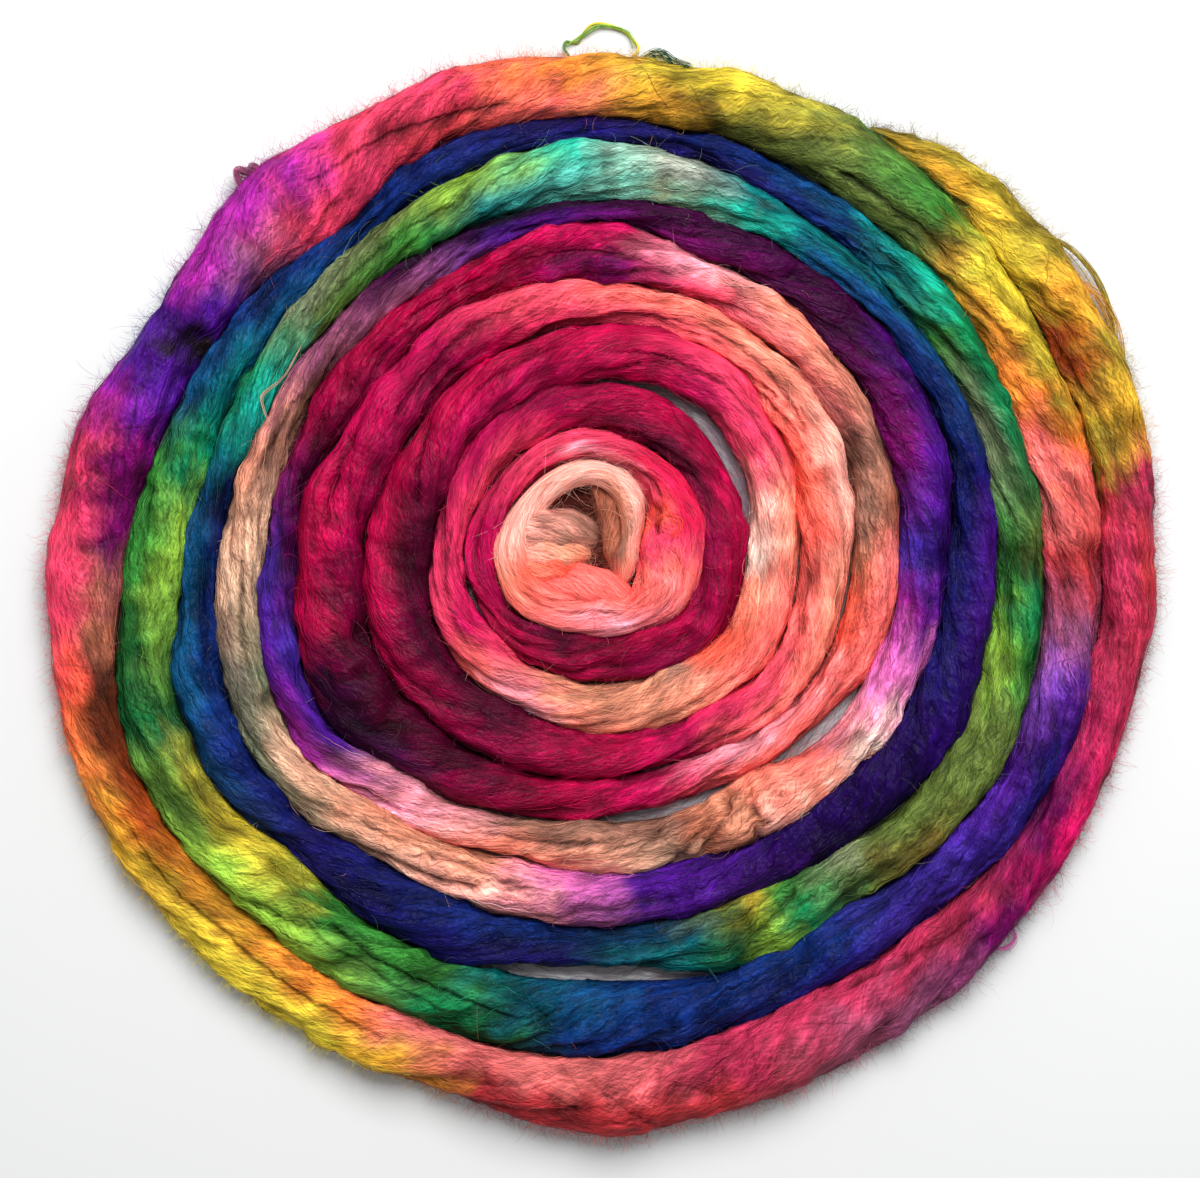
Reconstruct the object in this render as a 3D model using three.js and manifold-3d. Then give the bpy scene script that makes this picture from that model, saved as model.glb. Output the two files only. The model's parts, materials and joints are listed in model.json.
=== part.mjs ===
// A strand of silk roving laid in a flat coil on a table, with one loose wisp beside it.
// Millimetres, +Z up, resting on z = 0. Azimuths are in degrees, counter-clockwise from +X.
import * as THREE from "three";
import { mergeVertices } from "three/addons/utils/BufferGeometryUtils.js";
import Module from "manifold-3d";

// The strand's usual section
const USUAL_WIDTH = 20;
const USUAL_CROWN = 15.5;
const WIDEST_AT = 0.36;
const BASE_SHARE = 0.85;
const SIDE_FULLNESS = 0.85;
const CROWN_FULLNESS = 1;
const UNDERSIDE_CURVE = 1.5;
const TURN_CLEARANCE = 0.8;

// Lengthwise folds and lumps
const FOLDS = 3;
const FOLD_DEPTH = 0.13;
const FOLD_SWING = 1.3;
const FOLD_WAVES = [95, 58];
const FOLD_FROM = 0.1;
const FOLD_FULL = 0.7;
const LUMP_SHARE = 0.07;
const LUMP_WAVES = [31, 53];

// Sampling of the strand
const SIDES = 12;
const STEP_LENGTH = 20;
const WIDEST_STEP = 13;

// Where the strand starts and ends, in degrees of winding from the heart's first azimuth 0
const START = -62;
const END = 3658;
const TIP_LENGTH = 16;
const TIP_SHARE = 0.2;
const HEART_RISE = 3;
const HEART_REACH = 330;

// Middle of the winding, measured from the middle of the coil's footprint
const COIL_MIDDLE = new THREE.Vector2(-1, 12.6);

// Radius of the seam outside each turn, from the heart's hollow outwards, a column every 30 degrees
const SEAM_PITCH = 30;
const SEAM_RADII = [
  { turn: "hollow", at: [7, 9, 17, 29.2, 30.4, 29, 26.4, 20.8, 15.2, 11.2, 18, 17.2] },
  { turn: "heart", at: [16.4, 19.2, 32.4, 39.6, 40.8, 40.8, 42, 39.6, 32.8, 30, 32, 38] },
  { turn: "first", at: [40, 45.2, 48, 51.6, 53.2, 52.8, 54.4, 52, 50, 49.2, 50, 58.4] },
  { turn: "second", at: [58.4, 64, 70.8, 71.2, 69.6, 67.6, 68, 70.8, 68.4, 70.4, 70, 78.8] },
  { turn: "third", at: [79.6, 86.4, 94.4, 94, 92, 90, 95.2, 96, 90.8, 86.8, 87.2, 96.8] },
  { turn: "fourth", at: [100.4, 107.6, 109.6, 111.6, 113.6, 113.2, 120, 126.8, 111.6, 104, 104.4, 113.6] },
  { turn: "fifth", at: [119.6, 124.4, 127.2, 135.2, 129.2, 130.4, 134, 141.6, 127.2, 124, 127.2, 134.4] },
  { turn: "sixth", at: [140, 146.8, 142, 143.2, 142.4, 144.8, 150.8, 159.2, 146.8, 146.4, 146.4, 158.4] },
  { turn: "seventh", at: [158.8, 158.8, 159.6, 167.6, 160.8, 158.8, 165.6, 178.8, 172, 164.8, 168.8, 179.6] },
  { turn: "eighth", at: [177.6, 175.2, 174, 176.4, 176.4, 176, 188.4, 203.2, 198, 198.4, 192.4, 200] },
  { turn: "ninth", at: [200.8, 198.8, 202.4, 200, 203.2, 202.4, 218.8, 225.2, 222.4, 226.8, 222.8, 220.4] },
  { turn: "tail", at: [221.6, 221.6, 203, 197.2] },
];
const SEAM_START = -360;

// Places where a seam swells out or draws in between those columns
const BULGES = [
  { seam: 4, azimuth: 165, spread: 8, rise: 3 },
  { seam: 4, azimuth: 225, spread: 8, rise: -3 },
  { seam: 5, azimuth: 75, spread: 8, rise: -3 },
  { seam: 6, azimuth: 60, spread: 18, rise: 2.5 },
  { seam: 7, azimuth: 195, spread: 8, rise: 4 },
  { seam: 7, azimuth: 224, spread: 9, rise: -7.5 },
  { seam: 7, azimuth: 288, spread: 10, rise: 5.5 },
  { seam: 8, azimuth: 129, spread: 9, rise: -7.5 },
  { seam: 8, azimuth: 195, spread: 8, rise: 3 },
  { seam: 8, azimuth: 225, spread: 8, rise: -3 },
  { seam: 9, azimuth: 102, spread: 9, rise: 3 },
  { seam: 9, azimuth: 133, spread: 6, rise: 6 },
  { seam: 9, azimuth: 165, spread: 8, rise: 4.5 },
  { seam: 9, azimuth: 255, spread: 8, rise: -3.5 },
  { seam: 10, azimuth: 48, spread: 13, rise: 5 },
];

// Open slits between two turns, where the table shows through
const SLITS = [
  { seam: 1, from: 56, to: 98, width: 2.2 },
  { seam: 1, from: 188, to: 210, width: 2.4 },
  { seam: 2, from: 14, to: 100, width: 6.6 },
  { seam: 4, from: 268, to: 302, width: 4.6 },
  { seam: 4, from: 310, to: 336, width: 4.8 },
  { seam: 7, from: 252, to: 286, width: 5.4 },
];

// Bed, tongue and lower fold of silk in the heart's hollow, placed from the middle of the winding
const HEART_FOLDS = [
  { x: -8, y: 7, length: 58, width: 54, height: 4.5, turned: 0 },
  { x: -20, y: 7, length: 38, width: 22, height: 14, turned: 4 },
  { x: -8, y: -10, length: 40, width: 15, height: 12.5, turned: -5 },
];

// Route of the loose wisp, from the middle of the winding, leaving the coil and coming back to it
const WISP_DIAMETER = 1;
const WISP_SIDES = 8;
const WISP_STEPS = 26;
const WISP_ROUTE = [
  { x: -12, y: 201.1, z: 4.4 },
  { x: -14.4, y: 205.4, z: 1.9 },
  { x: -13.4, y: 208.2, z: 0.7 },
  { x: -9, y: 207.4, z: 0.6 },
  { x: -6.6, y: 211.6, z: 0.6 },
  { x: -2.8, y: 215.2, z: 0.6 },
  { x: 4, y: 214.8, z: 0.6 },
  { x: 11, y: 211, z: 0.6 },
  { x: 15.2, y: 206.4, z: 0.7 },
  { x: 14.2, y: 203, z: 1.9 },
  { x: 10.5, y: 199.8, z: 4.4 },
];

const wasm = await Module();
wasm.setup();

// Seams

function makeSeam() {
  const radii = SEAM_RADII.flatMap((row) => row.at);
  const knots = radii.map((radius, i) => new THREE.Vector2(SEAM_START + i * SEAM_PITCH, radius));
  const line = new THREE.SplineCurve(knots);
  const reach = (knots.length - 1) * SEAM_PITCH;
  return (winding) => {
    const share = THREE.MathUtils.clamp((winding - SEAM_START) / reach, 0, 1);
    const swell = BULGES.map(({ seam, azimuth, spread, rise }) => {
      const away = (winding - 360 * seam - azimuth) / spread;
      return rise * Math.exp(-away * away);
    });
    return line.getPoint(share).y + swell.reduce((sum, rise) => sum + rise, 0);
  };
}

const seamRadius = makeSeam();

function slitWidth(winding) {
  const widths = SLITS.map(({ seam, from, to, width }) => {
    const share = (winding - 360 * seam - from) / (to - from);
    const inside = THREE.MathUtils.clamp(share, 0, 1);
    return width * Math.sqrt(Math.sin(Math.PI * inside));
  });
  return Math.max(...widths);
}

// The strand's own size at each place along it

function strandAt(winding) {
  const inner = seamRadius(winding - 360) + (TURN_CLEARANCE + slitWidth(winding - 360)) / 2;
  const outer = seamRadius(winding) - (TURN_CLEARANCE + slitWidth(winding)) / 2;
  return { middle: (inner + outer) / 2, half: (outer - inner) / 2 };
}

function makeRows() {
  const rows = [];
  let along = 0;
  let winding = START;
  while (winding < END) {
    const { middle } = strandAt(winding);
    rows.push({ winding, along });
    const step = Math.min(WIDEST_STEP, THREE.MathUtils.radToDeg(STEP_LENGTH / middle));
    winding += step;
    along += THREE.MathUtils.degToRad(step) * middle;
  }
  rows.push({ winding: END, along });
  return rows;
}

function tipShare(along, length) {
  const nearest = Math.min(along, length - along);
  return TIP_SHARE + (1 - TIP_SHARE) * Math.sqrt(Math.min(1, nearest / TIP_LENGTH));
}

function unevenness(along, waves) {
  return waves.reduce((sum, wave, i) => sum + Math.sin(along / wave + i), 0);
}

function sectionPoint(row, length, turned, spoke) {
  const { middle, half } = strandAt(row.winding);
  const tip = tipShare(row.along, length);
  const lump = 1 + LUMP_SHARE * unevenness(row.along, LUMP_WAVES);
  const heart = HEART_RISE * Math.exp(-((Math.max(row.winding, 0) / HEART_REACH) ** 2));
  const crown = tip * (USUAL_CROWN * Math.sqrt((2 * half) / USUAL_WIDTH) * lump + heart);
  const swing = FOLD_SWING * unevenness(row.along, FOLD_WAVES);
  const sine = Math.sin(turned);
  const cosine = Math.cos(turned);
  const fold = FOLD_DEPTH * (0.5 - 0.5 * Math.cos(FOLDS * (turned - swing)));
  const crease = 1 - fold * THREE.MathUtils.smoothstep(sine, FOLD_FROM, FOLD_FULL);
  const across = Math.sign(cosine) * Math.abs(cosine) ** SIDE_FULLNESS * spoke * crease;
  const rise = (1 - WIDEST_AT) * Math.abs(sine) ** CROWN_FULLNESS * crease;
  const drop = WIDEST_AT * Math.min(1, (Math.abs(sine) / BASE_SHARE) ** UNDERSIDE_CURVE);
  const height = WIDEST_AT + spoke * (sine > 0 ? rise : -drop);
  const radius = middle + across * half * tip;
  const azimuth = THREE.MathUtils.degToRad(row.winding);
  return new THREE.Vector3(
    COIL_MIDDLE.x + radius * Math.cos(azimuth),
    COIL_MIDDLE.y + radius * Math.sin(azimuth),
    height * crown,
  );
}

function bareGeometry(geometry) {
  geometry.deleteAttribute("normal");
  geometry.deleteAttribute("uv");
  return mergeVertices(geometry);
}

function makeStrand() {
  const rows = makeRows();
  const steps = rows.length - 1;
  const length = rows[steps].along;
  const strand = bareGeometry(new THREE.CylinderGeometry(1, 1, steps, SIDES, steps));
  const place = strand.attributes.position;
  for (let i = 0; i < place.count; i += 1) {
    const row = rows[Math.round(place.getY(i) + steps / 2)];
    const spoke = Math.min(1, Math.hypot(place.getX(i), place.getZ(i)));
    const turned = Math.atan2(place.getZ(i), place.getX(i));
    const point = sectionPoint(row, length, turned, spoke);
    place.setXYZ(i, point.x, point.y, point.z);
  }
  return strand;
}

function makeHeartFold({ x, y, length, width, height, turned }) {
  const dome = bareGeometry(new THREE.SphereGeometry(1, 14, 8));
  const place = dome.attributes.position;
  for (let i = 0; i < place.count; i += 1) {
    place.setZ(i, Math.max(0, place.getZ(i)));
  }
  dome.scale(length / 2, width / 2, height);
  dome.rotateZ(THREE.MathUtils.degToRad(turned));
  return dome.translate(COIL_MIDDLE.x + x, COIL_MIDDLE.y + y, 0);
}

// Joining

function toSolid(geometry) {
  const vertProperties = new Float32Array(geometry.attributes.position.array);
  const triVerts = new Uint32Array(geometry.index.array);
  return new wasm.Manifold(new wasm.Mesh({ numProp: 3, vertProperties, triVerts }));
}

function toGeometry(solid) {
  const { vertProperties, triVerts } = solid.getMesh();
  const geometry = new THREE.BufferGeometry();
  geometry.setAttribute("position", new THREE.BufferAttribute(vertProperties, 3));
  geometry.setIndex(new THREE.BufferAttribute(triVerts, 1));
  geometry.computeVertexNormals();
  return geometry;
}

function makeRoving() {
  const folds = HEART_FOLDS.map((fold) => toSolid(makeHeartFold(fold)));
  const joined = folds.reduce((sum, fold) => sum.add(fold), toSolid(makeStrand()));
  const silk = new THREE.MeshStandardMaterial({ color: 0xb24a72, roughness: 0.45, metalness: 0 });
  const roving = new THREE.Mesh(toGeometry(joined), silk);
  roving.name = "roving";
  return roving;
}

function makeWisp() {
  const points = WISP_ROUTE.map(({ x, y, z }) => new THREE.Vector3(COIL_MIDDLE.x + x, COIL_MIDDLE.y + y, z));
  const section = new THREE.Shape();
  for (let i = 0; i < WISP_SIDES; i += 1) {
    const turn = (2 * Math.PI * (i + 0.5)) / WISP_SIDES;
    const corner = [(Math.cos(turn) * WISP_DIAMETER) / 2, (Math.sin(turn) * WISP_DIAMETER) / 2];
    if (i === 0) {
      section.moveTo(...corner);
    } else {
      section.lineTo(...corner);
    }
  }
  const extrudePath = new THREE.CatmullRomCurve3(points);
  const tube = new THREE.ExtrudeGeometry(section, { extrudePath, steps: WISP_STEPS });
  const silk = new THREE.MeshStandardMaterial({ color: 0x7fa83a, roughness: 0.45, metalness: 0 });
  const wisp = new THREE.Mesh(bareGeometry(tube), silk);
  wisp.name = "loose_wisp";
  return wisp;
}

const group = new THREE.Group();
group.add(makeRoving(), makeWisp());

export default group;
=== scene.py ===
"""A coil of hand-dyed tussah silk roving on a white table, seen from straight above."""

import json
import math
from collections import namedtuple

import bpy
import numpy as np
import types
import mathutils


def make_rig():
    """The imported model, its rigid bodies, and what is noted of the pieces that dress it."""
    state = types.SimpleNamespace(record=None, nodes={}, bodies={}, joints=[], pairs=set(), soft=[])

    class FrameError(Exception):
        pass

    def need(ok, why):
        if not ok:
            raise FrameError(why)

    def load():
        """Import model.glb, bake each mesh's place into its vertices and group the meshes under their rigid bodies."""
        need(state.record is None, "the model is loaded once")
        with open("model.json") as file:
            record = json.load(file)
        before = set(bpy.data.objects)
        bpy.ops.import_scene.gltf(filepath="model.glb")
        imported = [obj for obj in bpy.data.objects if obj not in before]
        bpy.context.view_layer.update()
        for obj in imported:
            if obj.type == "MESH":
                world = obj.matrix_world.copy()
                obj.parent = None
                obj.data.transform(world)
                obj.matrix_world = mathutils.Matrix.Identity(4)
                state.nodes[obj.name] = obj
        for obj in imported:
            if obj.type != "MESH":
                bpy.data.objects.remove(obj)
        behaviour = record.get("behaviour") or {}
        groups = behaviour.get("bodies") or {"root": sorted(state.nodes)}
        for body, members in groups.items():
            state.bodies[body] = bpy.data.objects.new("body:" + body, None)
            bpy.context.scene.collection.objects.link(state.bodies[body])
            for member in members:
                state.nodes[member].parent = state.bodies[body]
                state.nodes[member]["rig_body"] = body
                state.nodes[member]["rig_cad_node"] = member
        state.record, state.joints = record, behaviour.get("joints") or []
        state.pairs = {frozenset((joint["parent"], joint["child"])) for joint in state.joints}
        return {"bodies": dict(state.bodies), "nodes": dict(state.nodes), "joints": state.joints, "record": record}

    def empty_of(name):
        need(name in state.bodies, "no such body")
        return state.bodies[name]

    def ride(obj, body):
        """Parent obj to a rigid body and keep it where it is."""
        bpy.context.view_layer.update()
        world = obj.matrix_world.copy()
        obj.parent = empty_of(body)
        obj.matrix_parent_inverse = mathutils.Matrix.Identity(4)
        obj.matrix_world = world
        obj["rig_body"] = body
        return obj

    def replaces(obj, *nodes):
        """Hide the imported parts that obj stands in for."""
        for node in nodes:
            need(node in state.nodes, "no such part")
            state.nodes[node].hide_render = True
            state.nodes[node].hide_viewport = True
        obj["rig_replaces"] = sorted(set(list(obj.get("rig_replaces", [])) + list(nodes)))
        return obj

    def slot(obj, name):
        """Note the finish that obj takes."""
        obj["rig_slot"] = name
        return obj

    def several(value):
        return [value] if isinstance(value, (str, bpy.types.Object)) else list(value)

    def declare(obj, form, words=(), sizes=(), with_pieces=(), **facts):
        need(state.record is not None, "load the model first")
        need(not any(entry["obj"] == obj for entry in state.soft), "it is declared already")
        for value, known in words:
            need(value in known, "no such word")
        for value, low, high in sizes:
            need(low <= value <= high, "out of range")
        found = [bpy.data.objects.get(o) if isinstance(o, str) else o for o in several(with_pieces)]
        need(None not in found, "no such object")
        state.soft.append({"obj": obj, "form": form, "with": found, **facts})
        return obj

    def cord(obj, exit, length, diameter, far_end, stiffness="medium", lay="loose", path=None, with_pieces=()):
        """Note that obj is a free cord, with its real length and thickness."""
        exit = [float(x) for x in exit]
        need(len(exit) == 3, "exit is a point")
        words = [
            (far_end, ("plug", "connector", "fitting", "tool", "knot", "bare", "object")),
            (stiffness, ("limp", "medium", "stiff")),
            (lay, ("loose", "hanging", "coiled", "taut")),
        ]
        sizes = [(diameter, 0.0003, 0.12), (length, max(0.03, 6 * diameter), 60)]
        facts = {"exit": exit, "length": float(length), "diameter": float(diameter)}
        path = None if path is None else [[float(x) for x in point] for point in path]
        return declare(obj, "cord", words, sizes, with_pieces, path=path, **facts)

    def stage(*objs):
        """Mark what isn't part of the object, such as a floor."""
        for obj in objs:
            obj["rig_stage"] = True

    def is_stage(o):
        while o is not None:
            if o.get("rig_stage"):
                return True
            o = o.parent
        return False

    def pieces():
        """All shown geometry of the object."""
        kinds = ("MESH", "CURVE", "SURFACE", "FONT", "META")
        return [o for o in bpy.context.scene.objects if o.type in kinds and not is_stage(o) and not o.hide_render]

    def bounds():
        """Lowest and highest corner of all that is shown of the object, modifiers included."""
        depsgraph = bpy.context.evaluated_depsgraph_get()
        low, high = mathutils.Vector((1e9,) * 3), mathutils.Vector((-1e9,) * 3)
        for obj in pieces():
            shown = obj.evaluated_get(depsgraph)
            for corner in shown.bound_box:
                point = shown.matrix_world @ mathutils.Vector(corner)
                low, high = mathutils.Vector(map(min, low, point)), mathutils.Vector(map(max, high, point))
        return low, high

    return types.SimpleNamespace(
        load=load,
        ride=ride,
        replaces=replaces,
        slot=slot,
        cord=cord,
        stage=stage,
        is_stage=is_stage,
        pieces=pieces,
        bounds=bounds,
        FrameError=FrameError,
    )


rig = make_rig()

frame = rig.load()
cad_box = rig.bounds()

MM = 0.001
DEG = math.pi / 180

# The strand's usual section
USUAL_WIDTH = 20 * MM
USUAL_CROWN = 15.5 * MM
WIDEST_AT = 0.36
BASE_SHARE = 0.85
SIDE_FULLNESS = 0.75
CROWN_FULLNESS = 0.85
UNDERSIDE_CURVE = 1.5
TURN_CLEARANCE = 0.3 * MM

# Lengthwise folds and lumps
FOLD_TWIST = 22
FOLD_SWING = 0.45
FOLD_WAVES = (95 * MM, 58 * MM)
LUMP_SHARE = 0.07
LUMP_WAVES = (31 * MM, 53 * MM)
SECTION_RADIUS = 8.5 * MM

# Where the strand starts and ends, in degrees of winding from the heart's first azimuth 0
START = -62
END = 3658

# How far its ends draw in, and how far the heart stands up
TIP_LENGTH = 16 * MM
TIP_SHARE = 0.2
HEART_RISE = 3 * MM
HEART_REACH = 330

# Middle of the winding, measured from the middle of the coil's footprint
COIL_MIDDLE = np.array([-1.0, 12.6]) * MM

# Radius of the seam outside each turn in millimetres, from the heart's hollow outwards,
# a column every 30 degrees
SEAM_PITCH = 30
SEAM_START = -360
SEAM_RADII = {
    "hollow": [4, 6.5, 16, 29.2, 30.4, 29, 26.4, 20.8, 15.2, 11.2, 18, 17.2],
    "heart": [16.4, 19.2, 32.4, 39.6, 40.8, 40.8, 42, 39.6, 32.8, 30, 32, 38],
    "first": [40, 45.2, 48, 51.6, 53.2, 52.8, 54.4, 52, 50, 49.2, 50, 58.4],
    "second": [58.4, 64, 70.8, 71.2, 69.6, 67.6, 68, 70.8, 68.4, 70.4, 70, 78.8],
    "third": [79.6, 86.4, 94.4, 94, 92, 90, 95.2, 96, 90.8, 86.8, 87.2, 96.8],
    "fourth": [100.4, 107.6, 109.6, 111.6, 113.6, 113.2, 120, 126.8, 111.6, 104, 104.4, 113.6],
    "fifth": [119.6, 124.4, 127.2, 135.2, 129.2, 130.4, 134, 141.6, 127.2, 124, 127.2, 134.4],
    "sixth": [140, 146.8, 142, 143.2, 142.4, 144.8, 150.8, 159.2, 146.8, 146.4, 146.4, 158.4],
    "seventh": [158.8, 158.8, 159.6, 167.6, 160.8, 158.8, 165.6, 178.8, 172, 164.8, 168.8, 179.6],
    "eighth": [177.6, 175.2, 174, 176.4, 176.4, 176, 188.4, 203.2, 198, 198.4, 192.4, 200],
    "ninth": [200.8, 198.8, 202.4, 200, 203.2, 202.4, 218.8, 225.2, 222.4, 226.8, 222.8, 220.4],
    "tail": [221.6, 221.6, 203, 197.2],
}
SEAM_KNOTS = np.concatenate(list(SEAM_RADII.values())) * MM

# Places where a seam swells out or draws in: seam, azimuth, spread in degrees, rise in millimetres
BULGES = [
    (4, 165, 8, 3), (4, 225, 8, -3), (5, 75, 8, -3), (6, 60, 18, 2.5), (7, 195, 8, 4), (7, 224, 9, -7.5),
    (7, 288, 10, 5.5), (8, 129, 9, -7.5), (8, 195, 8, 3), (8, 225, 8, -3), (9, 102, 9, 3), (9, 133, 6, 6),
    (9, 165, 8, 4.5), (9, 255, 8, -3.5), (9, 272, 5, 2.5), (10, 48, 13, 5),
]

# Open slits between two turns: seam, first and last azimuth, width in millimetres
SLITS = [
    (1, 56, 98, 2.2),
    (1, 188, 210, 2.4),
    (2, 14, 100, 6.6),
    (4, 268, 302, 4.6),
    (4, 310, 336, 4.8),
    (7, 252, 286, 5.4),
]

# How lumpy and how mottled the silk is in each turn, from the heart to the tail; the lumpiness also sets how dark the
# painted shade in the dips is
LUMPINESS = [0.3, 0.7, 0.5, 0.6, 0.8, 0.9, 0.6, 1.0, 1.0, 0.6, 1.0]
MOTTLING = [0.5, 1.0, 0.8, 0.9, 1.0, 1.0, 1.0, 1.0, 1.0, 1.1, 1.1]

# Main creases: turn, first and last azimuth, place across the strand at each (-1 is the inner side),
# depth and half width in millimetres
CREASES = [
    (9, 40, 60, -0.4, -0.55, 3.5, 1.3), (9, 100, 130, -0.5, 0.2, 3, 1.4),
    (9, 168, 173, -0.3, 0.9, 2, 1.2), (9, 177, 182, -0.7, 0.6, 2, 1.2), (9, 208, 248, 0.1, -0.2, 3, 1.3),
    (9, 262, 268, -0.3, 0.5, 2, 1.2), (9, 268, 276, -0.6, 0.8, 2.5, 1.4),
    (9, 276, 283, -0.5, 0.6, 2, 1.2), (9, 300, 318, -0.85, -0.35, 2.5, 1.4),
    (8, 28, 46, -0.65, -0.5, 2.2, 1), (8, 29, 50, 0.15, -0.2, 2.4, 1), (8, 100, 128, 0.2, 0.5, 2, 1.2),
    (8, 230, 252, 0.05, 0.4, 2.5, 1.1), (8, 232, 262, -0.5, 0.08, 4.2, 1.2),
    (8, 259, 264, -0.8, 0.2, 4, 1.3), (7, 34, 56, 0.75, 0.6, 2, 1), (7, 112, 140, 0, -0.3, 2.5, 1.2),
    (7, 236, 250, 0.3, -0.5, 2, 1), (7, 290, 301, 0.6, -0.7, 3.5, 1.5), (6, 150, 170, -0.3, 0.15, 3, 1.1),
    (6, 168, 200, 0.15, -0.25, 2.8, 1.1), (6, 224, 260, -0.35, -0.18, 2.8, 1),
    (6, 228, 250, 0.85, 0.4, 2.4, 1), (6, 230, 256, -0.6, -0.75, 2.4, 1),
    (5, 80, 106, -0.3, 0.1, 2.6, 1.4), (5, 108, 150, 0.1, -0.1, 2.2, 1.3),
    (5, 244, 276, 0.1, -0.3, 2.4, 1), (5, 277, 283, 0.5, -0.8, 3, 1.3),
    (5, 284, 292, 0.95, -0.3, 3.6, 1.6), (5, 289, 299, 0.85, -0.75, 4, 1.8),
    (5, 299, 304, 0.9, -0.8, 4, 2.2), (4, 30, 68, -0.1, -0.15, 2.6, 1.1),
    (4, 100, 150, 0.5, -0.3, 2.6, 1.3), (4, 152, 174, 0.7, 0.15, 3.5, 1.3),
    (3, 14, 88, 0.7, -0.25, 2.6, 1.1), (3, 100, 140, 0.4, 0, 2.4, 1.2),
    (3, 140, 165, 0.8, -0.4, 3.5, 1.3), (3, 174, 180, 0.95, -0.95, 1.8, 1.1),
    (2, 165, 215, 0, 0.1, 2.2, 1.1), (1, 24, 40, -0.55, -0.4, 4.5, 2.2), (1, 44, 64, -0.1, -0.35, 3, 1.4),
    (0, 190, 300, 0.2, -0.1, 2, 1.2),
]
DEEPEST_CREASE = 4 * MM

# Pits, and knobs of a depth below zero: turn, azimuth, place across the strand, depth and radius
# in millimetres
PITS = [
    (1, 40, -0.55, 4.5, 3.5), (1, 31, -0.3, -2.4, 4), (4, 197.5, -0.75, 4, 4.5), (4, 202, 0.35, 3, 3.5),
    (4, 204, -0.05, -2.5, 5), (4, 206, -0.4, 3.5, 4), (4, 209, -0.1, -2.5, 5), (4, 211, 0.3, 3.5, 3.5),
    (4, 213.5, -0.15, -2.2, 5), (4, 216, -0.55, 3, 4), (4, 221, 0.15, 3, 3.5), (5, 92, 0.45, -2.2, 7),
    (5, 287, 0.2, -2.8, 4), (5, 296, 0.1, -3, 4.5), (5, 306, 0.1, -2.8, 6), (6, 203, -0.8, 4, 4),
    (7, 291, -0.5, 3.5, 3.5), (7, 294.5, -0.2, -2.8, 5), (7, 300, -0.3, 3.5, 3.5), (8, 262, 0, 4.5, 3.5),
    (9, 152, -0.75, 5, 7), (9, 147, 0.2, -2.2, 7), (9, 84, 0.3, -2.2, 8), (10, 27, -0.3, 4.5, 6),
    (10, 33, 0.35, -2.2, 6), (10, 45, -0.2, 3, 5),
]

# Folds of silk in the heart's hollow, in millimetres from the middle of the winding: route, half width,
# height, and the dyes of the fold's two ends
HEART_FOLDS = [
    # The bed's dark brown is painted shade in the cave under the heart's ridge and in the slot beside the tongue
    ([(-38, 8), (-18, 8), (4, 8), (24, 8)], 25, 5, "bark", "bark"),
    ([(-40, 7), (-29, 10), (-14, 12), (0, 9)], 9, 15.5, "pale peach", "taupe"),
    ([(-38, 0), (-27, 1), (-14, 3), (-3, 3)], 7, 15, "pale peach", "tan"),
    # This fold's umber is painted shade on the inner flank of the heart's right arm
    ([(-4, 32), (2, 24), (5.5, 12), (9, -9)], 6.2, 11.5, "umber", "umber"),
    ([(-40, -4), (-28, -5), (-15, -3), (-6, -4)], 5, 15.5, "peach", "coral"),
    ([(-33, -11), (-18, -9), (-2, -11), (15, -17)], 7.5, 15, "salmon", "salmon"),
]

# Tufts and loops of fibres that stick out of the coil, in degrees and millimetres about the middle of the
# winding: dye, number of fibres, how far they spread, and the route as azimuth, radius and height
TUFTS = [
    ("forest", 34, 0.9, [(86, 197, 9), (84.5, 203, 6), (83, 204, 5), (81.5, 201, 7), (79.5, 200, 11)]),
    ("olive", 26, 1.0, [(36, 220, 9), (33, 226, 7), (29, 228, 6), (25, 226, 6), (20, 219, 9)]),
    ("gold", 16, 1.2, [(31, 219, 12), (28, 225, 8), (25, 226, 6), (22, 224, 6), (17, 218, 9)]),
    ("mauve", 60, 0.9, [
        (135, 197, 11), (133.7, 208, 9), (132.9, 212, 8), (132.1, 208, 8), (131.3, 209, 8),
        (130.4, 198, 11),
    ]),
    ("orchid pink", 14, 0.5, [(315, 219, 6), (316.2, 224.5, 4), (317.6, 225, 4), (318.4, 219, 6)]),
    ("lime", 12, 0.6, [(94, 206, 2), (92, 210, 2), (90, 214, 2), (87, 212, 2), (86, 205, 3)]),
    ("coral", 40, 1.1, [(31, 26, 15), (34, 30, 17), (27, 33.5, 17), (19, 31, 17), (20, 26, 15)]),
    ("beige", 4, 0.4, [(144, 146, 16), (150, 145, 17), (154, 149, 17), (156, 146, 18), (158, 141, 16)]),
]

# Route of the loose wisp in millimetres, from the middle of the winding
WISP_DIAMETER = 1 * MM
WISP_SIDES = 8
WISP_POINTS = 40
WISP_ROUTE = [
    (-12, 201.1, 4.4), (-14.4, 205.4, 1.9), (-13.4, 208.2, 0.7), (-9, 207.4, 0.6), (-6.6, 211.6, 0.6),
    (-2.8, 215.2, 0.6), (4, 214.8, 0.6), (11, 211, 0.6), (15.2, 206.4, 0.7), (14.2, 203, 1.9),
    (10.5, 199.8, 4.4),
]
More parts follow.
